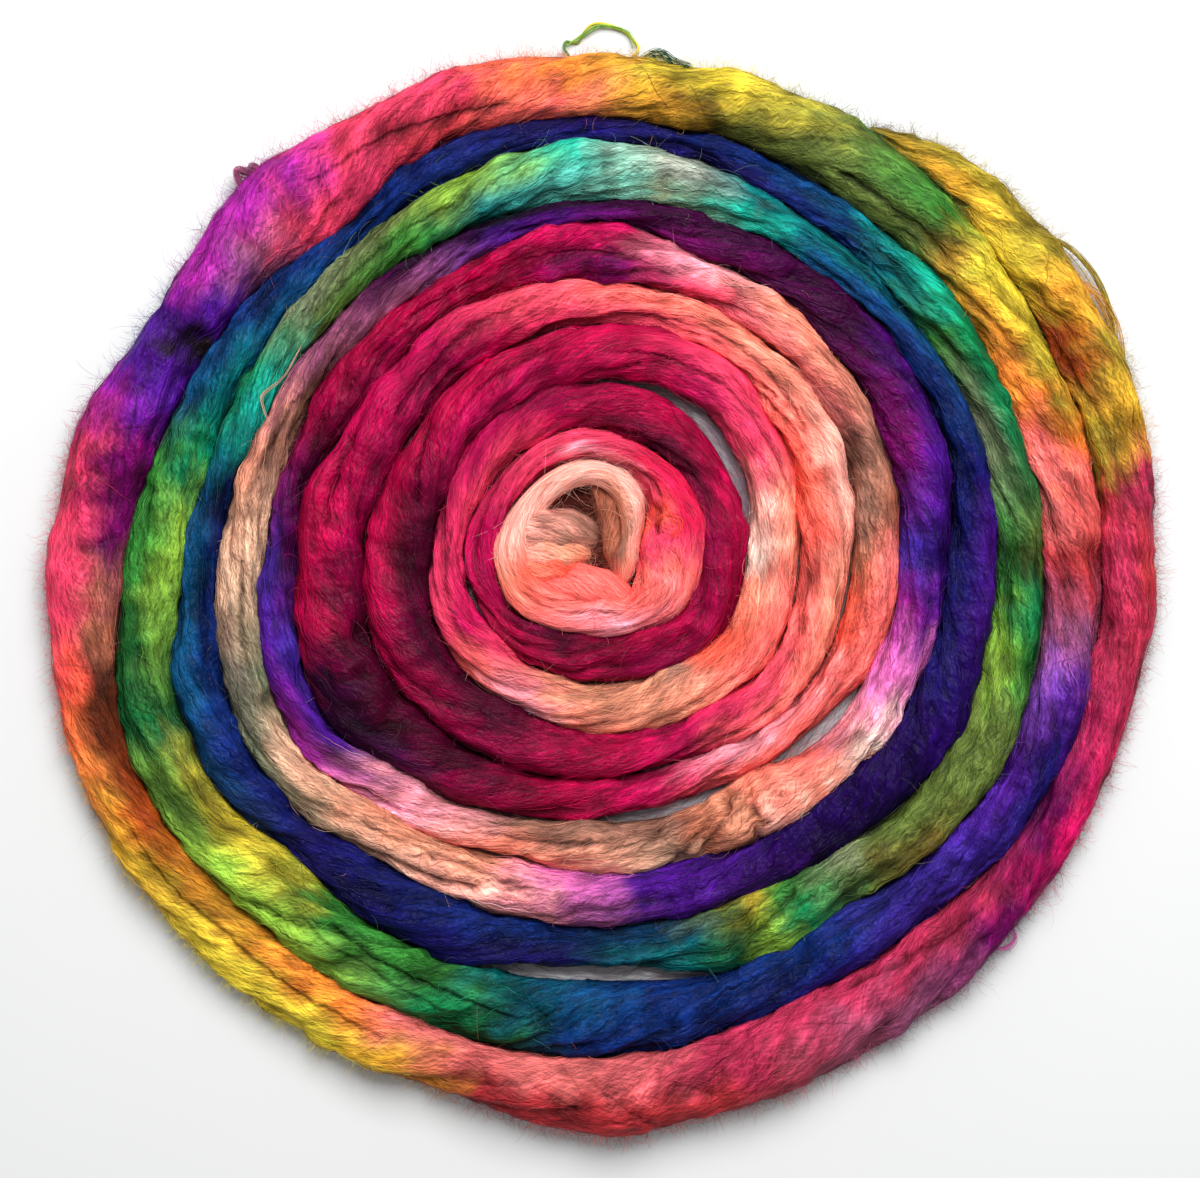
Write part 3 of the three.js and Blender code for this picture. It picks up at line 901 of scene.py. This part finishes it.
def fibres_along(surface, length, thickness, lift, lean, seed):
    """Paths, thicknesses and colours of crimped fibres that lie along a surface and follow its folds."""
    rng = np.random.default_rng(seed)
    count = FIBRES_A_PIECE
    own = np.arange(count)[:, None] + 0.5
    span = rng.uniform(*length, count)
    start = rng.uniform(0, 1, count) * (surface.along[-1] - span)
    step = np.linspace(0, 1, FIBRE_POINTS)
    along = start[:, None] + span[:, None] * step
    winding = np.interp(along, surface.along, surface.winding)
    wave = rng.uniform(*CRIMP_WAVES, (count, 1))
    sway = np.sin(2 * math.pi * (along / wave + rng.uniform(0, 1, (count, 1))))
    sway = crimped(winding) * (0.3 * sway + 0.6 * ripple(along / (7 * MM), own, seed)) * MM
    turned = rng.uniform(-12 * DEG, 192 * DEG, (count, 1))
    turned = turned + swing(along) - swing(start)[:, None] + rng.normal(0, lean, (count, 1)) * (step - 0.5)
    turned = turned + sway / SECTION_RADIUS
    place, outward, _ = at(surface, along, turned)
    hump = np.sin(math.pi * step) ** 0.5
    waver = 0.5 + 0.5 * ripple(along / (6 * MM), own, seed + 1)
    rise = rng.uniform(*lift, (count, 1)) * hump * waver - 0.3 * MM * (1 - hump)
    paths = place + outward * rise[..., None]
    paths[..., 2] = np.maximum(paths[..., 2], LOWEST_LOCK)
    thick = rng.uniform(*thickness, (count, 1)) * (0.3 + 0.7 * hump)
    dyed_along = along + rng.normal(0, 5 * MM, (count, 1))
    dyed_round = turned + rng.normal(0, 0.2, (count, 1))
    _, _, dyes = at(surface, dyed_along, dyed_round)
    # Locks low on the strand's sides are darkened as painted shade, like the grooves of the body
    painted_groove_shade = 0.55 + 0.45 * smooth(np.sin(turned), -0.1, 0.65)
    tone = np.exp(rng.normal(0.15, 0.4, (count, 1))) * painted_groove_shade
    return paths, thick, np.clip(dyes * tone[..., None], 0, 1)


def hairs_about(surface, along, turned, kind, seed):
    """Paths, thicknesses and colours of fine hairs that stand away from a surface at the given places."""
    rng = np.random.default_rng(seed)
    count = len(along)
    place, outward, dyes = at(surface, along, turned)
    ahead, _, _ = at(surface, along + 2 * MM, turned)
    forward = unit(ahead - place) * rng.choice([-1, 1], (count, 1))
    shortest, longest = kind.length
    span = shortest + (longest - shortest) * rng.uniform(0, 1, (count, 1)) ** 2
    leaning = forward + rng.uniform(*kind.steepness, (count, 1)) * outward
    run = unit(leaning + HAIR_STRAY * unit(rng.normal(0, 1, (count, 3))))
    aside = unit(np.cross(run, rng.normal(0, 1, (count, 3))))
    step = np.linspace(0, 1, kind.points)
    bend = rng.choice([-1, 1], (count, 1)) * rng.uniform(*HAIR_BEND, (count, 1))
    ahead = (span * np.sin(bend * step) / bend)[..., None]
    over = (span * (1 - np.cos(bend * step)) / bend)[..., None]
    paths = (place - ROOT_DEPTH * outward)[:, None] + ahead * run[:, None] + over * aside[:, None]
    paths[..., 2] = np.clip(paths[..., 2], LOWEST_HAIR, HIGHEST_HAIR)
    thick = rng.uniform(*kind.thickness, (count, 1)) * (1 - 0.6 * step)
    # The hairs' dye is made lighter at random, and a little grey is added as painted sheen
    colours = np.clip(dyes * np.exp(rng.normal(0.25, 0.35, (count, 1))) + 0.05, 0, 1)
    return paths, thick, np.repeat(colours[:, None], kind.points, axis=1)


# Materials

SILK_GLOSS = 0.09
FIBRE_GLOSS = 0.2
TABLE_WHITE = {0: 0.72, 1: 0.725, 2: 0.725}
# Width and raggedness of the painted shade line along the bottom of the main creases
CREASE_LINE = 1.25 * MM
CREASE_RAGGEDNESS = 3.6 * MM
WAVER = 1.9 * MM
SMALL_WAVER = 0.8 * MM
BUMP_DEPTH = 0.9 * MM


class Thread:
    """A node socket of one material, so that shader maths reads as plain expressions."""

    def __init__(self, tree, socket=None):
        self.tree = tree
        self.socket = socket

    def node(self, kind, inputs=None, output=0, **settings):
        """A new node with its settings, its values and its links, as one of its outputs."""
        made = self.tree.nodes.new("ShaderNode" + kind)
        for name, value in settings.items():
            setattr(made, name, value)
        for name, value in (inputs or {}).items():
            if isinstance(value, Thread):
                self.tree.links.new(value.socket, made.inputs[name])
            else:
                made.inputs[name].default_value = value
        return Thread(self.tree, made.outputs[output])

    def maths(self, operation, *others):
        """The outcome of a maths node whose first value is this socket."""
        return self.node("Math", dict(enumerate((self, *others))), operation=operation)

    def __add__(self, other):
        return self.maths("ADD", other)

    __radd__ = __add__

    def __mul__(self, other):
        return self.maths("MULTIPLY", other)

    __rmul__ = __mul__

    def __sub__(self, other):
        return self.maths("SUBTRACT", other)

    def __rsub__(self, other):
        return self.maths("MULTIPLY", -1) + other

    def vector(self, operation, other, socket=1):
        """The outcome of a vector maths node whose first value is this socket."""
        return self.node("VectorMath", {0: self, socket: other}, operation=operation)

    def toned(self, tone):
        """This colour, made lighter or darker by a tone."""
        return self.vector("SCALE", tone, 3)

    def noise(self, scale, detail):
        """Noise over these places."""
        return self.node("TexNoise", {"Vector": self, "Scale": scale, "Detail": detail})

    def part(self, axis):
        """One axis of this vector."""
        return self.node("SeparateXYZ", {0: self}, output=axis)

    def kept(self, name, output="Vector"):
        """What is kept under a name at each of a mesh's points."""
        return self.node("Attribute", output=output, attribute_name=name)


def new_material(name):
    """An empty material: its start thread and its surface shader."""
    material = bpy.data.materials.new(name)
    material.use_nodes = True
    shader = material.node_tree.nodes["Principled BSDF"]
    return material, Thread(material.node_tree), shader


def link(thread, shader, socket):
    """Leads a thread into one of the surface shader's sockets."""
    thread.tree.links.new(thread.socket, shader.inputs[socket])


def combed_silk():
    """The strand's own surface: dyed silk with fine crimped fibres running along it."""
    material, start, shader = new_material("combed_silk")

    def grain(place, along, around, detail):
        """Noise with so many wavers to a metre along the silk and round it."""
        return place.vector("MULTIPLY", (along, around, 0)).noise(1, detail)

    def lines(place, along, around, narrow):
        """Thin lines along the silk, where its noise crosses the middle."""
        away = (grain(place, along, around, 1) - 0.5).maths("ABSOLUTE")
        return (1 - narrow * away).maths("MAXIMUM", 0)

    def sheared(place, slope):
        """Places whose lines slant across the silk."""
        over = start.node("CombineXYZ", {"Y": slope * place.part("X")})
        return place.vector("ADD", over)

    def crease(layer):
        """The painted shade line at the bottom of the main creases kept in one layer."""
        away = crease_away.part(layer) + CREASE_RAGGEDNESS * clump - CREASE_RAGGEDNESS / 2
        near = 1 - 1 / CREASE_LINE * away.maths("ABSOLUTE")
        return near.maths("MAXIMUM", 0) * crease_depth.part(layer)

    # The kept colour already holds the painted shade of the grooves and dips
    dye = start.kept("dye", "Color")
    flow = start.kept("flow")
    crease_away = start.kept("crease_away")
    crease_depth = start.kept("crease_depth")
    crimp = flow.part("Z")
    waver = crimp * (WAVER * grain(flow, 180, 250, 1) + SMALL_WAVER * grain(flow, 460, 620, 1))
    wavy = flow.vector("ADD", start.node("CombineXYZ", {"Y": waver}))
    straight = lines(wavy, 24, 1300, 12)
    leaning = lines(sheared(wavy, 0.25), 30, 1100, 12)
    crossing = lines(sheared(wavy, -0.3), 34, 1000, 12)
    fine = 0.45 * straight + 0.4 * leaning + 0.35 * crossing
    streak = grain(wavy, 32, 2400, 2)
    clump = grain(flow, 180, 260, 2)
    crinkle = crimp * grain(wavy, 420, 520, 1)
    fold = lines(wavy, 18, 240, 15) * (4 * clump - 1.4).maths("MAXIMUM", 0).maths("MINIMUM", 1)
    cuts = crease("X") + crease("Y") + crease("Z")
    plain = 1.1 * fine + 1.3 * streak + 0.7 * clump - 0.3
    # The tone darkens the fold lines and the main creases' lines as painted shade, besides their bump
    tone = (1 - fold * (0.1 + 0.45 * crimp)) * (1 - 0.72 * cuts).maths("MAXIMUM", 0.08) * plain
    height = 0.5 * fine + 0.6 * streak + (2.5 + 3 * crimp) * clump + 0.9 * crinkle
    height = height - (0.3 + 1.2 * crimp) * fold - 3 * cuts
    raised = {"Height": height, "Strength": 0.6, "Distance": BUMP_DEPTH}
    link(dye.toned(tone), shader, "Base Color")
    link(0.5 - 0.15 * fine, shader, "Roughness")
    link(start.node("Bump", raised, output="Normal"), shader, "Normal")
    shader.inputs["Specular IOR Level"].default_value = SILK_GLOSS
    return material


def single_fibre():
    """A lock of a few parallel silk fibres, glossy along its length."""
    material, start, shader = new_material("single_fibre")
    worn = start.node("TexCoord", output="Object").noise(260, 2)
    # The kept colour holds painted shade on the locks low on the strand's sides, and painted sheen on the hairs
    link(start.kept("dye", "Color").toned(0.6 + 0.8 * worn), shader, "Base Color")
    link(0.3 + 0.2 * worn, shader, "Roughness")
    shader.inputs["Specular IOR Level"].default_value = FIBRE_GLOSS
    return material


def white_table():
    """A matt white table top with a faint unevenness."""
    material, start, shader = new_material("white_table")
    cloud = start.node("TexCoord", output="Object").noise(6, 3)
    white = start.node("CombineColor", TABLE_WHITE)
    link(white.toned(0.98 + 0.03 * cloud), shader, "Base Color")
    shader.inputs["Roughness"].default_value = 0.75
    return material


# Pieces


def lay_strand(surface, silk):
    """The strand's own body, in place of the plain solid."""
    away, deep = crease_marks(surface)
    marks = {"flow": surface.flow, "crease_away": away, "crease_depth": deep}
    body = shaped_grid("roving_silk", surface.points, surface.colours, marks)
    finish_piece(body, silk)
    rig.replaces(body, "roving")


def lay_heart(silk, fibre):
    """The folds of silk that fill the heart's hollow, with their own loose hairs."""
    shapes = []
    for number, fold in enumerate(HEART_FOLDS):
        surface = fold_surface(*fold, 70 + 3 * number)
        marks = {"flow": surface.flow}
        piece = shaped_grid(f"heart_fold_{number + 1}", surface.points, surface.colours, marks)
        finish_piece(piece, silk)
        rng = np.random.default_rng(90 + number)
        along = rng.uniform(0, surface.along[-1], HEART_COUNT)
        turned = rng.uniform(10 * DEG, 170 * DEG, HEART_COUNT)
        shapes.append(hairs_about(surface, along, turned, HEART_HAIRS, 95 + number))
    spindle_piece("heart_hairs", shapes, fibre)


def lay_tufts(fibre):
    """The tufts and loops of fibres that stick out of the coil."""
    shapes = []
    for number, (dye, count, spread, route) in enumerate(TUFTS):
        rng = np.random.default_rng(110 + number)
        corners = [(r * math.cos(a * DEG), r * math.sin(a * DEG), z) for a, r, z in route]
        line, _ = smooth_route(corners, TUFT_POINTS)
        step = np.linspace(0, 1, TUFT_POINTS)[:, None]
        drift = rng.normal(0, spread * MM, (count, 1, 3)) + rng.normal(0, spread * MM, (count, 1, 3)) * step
        paths = line + drift * np.sin(math.pi * (0.1 + 0.8 * step))
        paths[..., 2] = np.clip(paths[..., 2], LOWEST_LOCK, HIGHEST_HAIR)
        thick = rng.uniform(*TUFT_THICKNESS, (count, 1)) * np.sin(math.pi * (0.15 + 0.7 * step[:, 0]))
        tone = np.exp(rng.normal(0.1, 0.3, (count, 1, 1)))
        colours = np.clip(on_silk(dye) * tone, 0, 1) * np.ones((1, TUFT_POINTS, 1))
        shapes.append((paths, thick, colours))
    spindle_piece("loose_tufts", shapes, fibre)


def lay_fibres(surface, fibre):
    """Locks of fibres along the strand, in three layers."""
    for name, *look in FIBRE_LAYERS:
        spindle_piece(name, [fibres_along(surface, *look)], fibre)


def lay_hairs(surface, fibre):
    """Fine hairs that have come loose all over the coil, and the fuzz along its outer edge."""
    rng = np.random.default_rng(60)
    along = surface.along[-1] * rng.uniform(0, 1, LOOSE_COUNT) ** 1.35
    lean = 112 * DEG * rng.uniform(0, 1, LOOSE_COUNT) ** 0.6
    turned = math.pi / 2 + rng.choice([-1, 1], LOOSE_COUNT) * lean
    spindle_piece("loose_hairs", [hairs_about(surface, along, turned, LOOSE_HAIRS, 61)], fibre)
    outermost = np.interp(END - FUZZ_WINDING, surface.winding, surface.along)
    along = rng.uniform(outermost, surface.along[-1], FUZZ_COUNT)
    turned = rng.uniform(-15 * DEG, 28 * DEG, FUZZ_COUNT)
    spindle_piece("edge_fuzz", [hairs_about(surface, along, turned, EDGE_FUZZ, 62)], fibre)


def lay_lint(fibre):
    """Stray fibres low in the open slits."""
    rng = np.random.default_rng(64)
    step = np.linspace(-0.5, 0.5, LINT_POINTS)
    paths = []
    colours = []
    for seam, start, end, wide in SLITS:
        winding = 360 * seam + rng.uniform(start, end, int(LINT * (end - start) * wide))
        each = (len(winding), 1)
        radius = seam_radius(winding) + rng.uniform(-0.8, 0.8, len(winding)) * slit_width(winding)
        span = rng.uniform(*LINT_LENGTH, each) * step
        swung = np.radians(winding)[:, None] + span / radius[:, None]
        away = radius[:, None] + rng.normal(0, 0.25, each) * span + rng.normal(0, 8, each) * span**2
        level = rng.uniform(*LINT_LEVEL, each) * (1 - 2 * step**2)
        x = COIL_MIDDLE[0] + away * np.cos(swung)
        y = COIL_MIDDLE[1] + away * np.sin(swung)
        paths.append(np.stack([x, y, level], axis=-1))
        own = dyed(winding, np.ones_like(winding))
        dye = LINT_OWN_SHARE * own + (1 - LINT_OWN_SHARE) * on_silk(LINT_DYE)
        colours.append(np.repeat(dye[:, None], LINT_POINTS, axis=1))
    paths = np.concatenate(paths)
    thick = rng.uniform(*LINT_THICKNESS, (len(paths), 1)) * (1 - 2 * step**2)
    spindle_piece("slit_lint", [(paths, thick, np.concatenate(colours))], fibre)


def lay_wisp(fibre):
    """The wisp pulled out of the outermost turn, lying in an open loop."""
    route, length = smooth_route(WISP_ROUTE, WISP_POINTS)
    forward = unit(np.gradient(route, axis=0))
    side = unit(np.cross(forward, (0, 0, 1)))
    up = np.cross(side, forward)
    turned = np.linspace(0, 2 * math.pi, WISP_SIDES + 1)
    spoke = side[:, None] * np.cos(turned)[:, None] + up[:, None] * np.sin(turned)[:, None]
    points = route[:, None] + spoke * WISP_DIAMETER / 2
    share = smooth(np.linspace(0, 1, WISP_POINTS), 0.1, 0.6)[:, None, None]
    colours = on_silk("grass") * (1 - share) + on_silk("yellow") * share
    colours = np.broadcast_to(colours, points.shape)
    wisp = shaped_grid("loose_wisp_silk", points, colours, {})
    finish_piece(wisp, fibre, slot="wisp_silk")
    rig.replaces(wisp, "loose_wisp")
    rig.cord(
        wisp, exit=route[0], length=length[-1], diameter=WISP_DIAMETER, far_end="object",
        stiffness="limp", lay="loose", path=route,
    )


# Stage

CAMERA_HEIGHT = 1.3
FRAME_WIDTH = 480 * MM
VIEW_MIDDLE = np.array([-1.0, 1.0]) * MM
SENSOR = 36
STRAND_LEVEL = 5 * MM
TABLE_SIZE = 8
WINDOW_PLACE = (0.22, 0.95, 1.4)
WINDOW_SIZE = 1.2
WINDOW_POWER = 43
ROOM_BRIGHTNESS = 0.36


def set_table():
    """The white table that the coil lies on."""
    bpy.ops.object.select_all(action="DESELECT")
    bpy.ops.mesh.primitive_plane_add(size=TABLE_SIZE, location=(0, 0, 0))
    table = bpy.context.object
    table.name = "table_top"
    table.data.materials.append(white_table())
    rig.stage(table)


def set_lights():
    """A soft window beyond the coil, in an evenly lit white room."""
    lamp = bpy.data.lights.new("window", "AREA")
    lamp.size = WINDOW_SIZE
    lamp.energy = WINDOW_POWER
    window = bpy.data.objects.new("window", lamp)
    bpy.context.collection.objects.link(window)
    window.location = WINDOW_PLACE
    window.rotation_euler = window.location.to_track_quat("Z", "Y").to_euler()
    world = bpy.data.worlds.new("white_room")
    world.use_nodes = True
    world.node_tree.nodes["Background"].inputs["Color"].default_value = (1, 1, 1, 1)
    world.node_tree.nodes["Background"].inputs["Strength"].default_value = ROOM_BRIGHTNESS
    bpy.context.scene.world = world
    bpy.context.scene.view_settings.view_transform = "Standard"


def set_camera():
    """A camera straight above the coil, whose frame is as wide as the photo's at the strand's level."""
    lens = bpy.data.cameras.new("overhead")
    lens.sensor_width = SENSOR
    lens.lens = SENSOR * (CAMERA_HEIGHT - STRAND_LEVEL) / FRAME_WIDTH
    camera = bpy.data.objects.new("overhead", lens)
    bpy.context.collection.objects.link(camera)
    camera.location = (*VIEW_MIDDLE, CAMERA_HEIGHT)
    bpy.context.scene.camera = camera


silk = combed_silk()
fibre = single_fibre()
strand = strand_surface()
lay_strand(strand, silk)
lay_heart(silk, fibre)
lay_fibres(strand, fibre)
lay_hairs(strand, fibre)
lay_lint(fibre)
lay_tufts(fibre)
lay_wisp(fibre)
set_table()
set_lights()
set_camera()

with open("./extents.json", "w") as sizes:
    json.dump({
        "cad": [list(map(float, corner)) for corner in cad_box],
        "visual": [list(map(float, corner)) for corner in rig.bounds()],
    }, sizes)
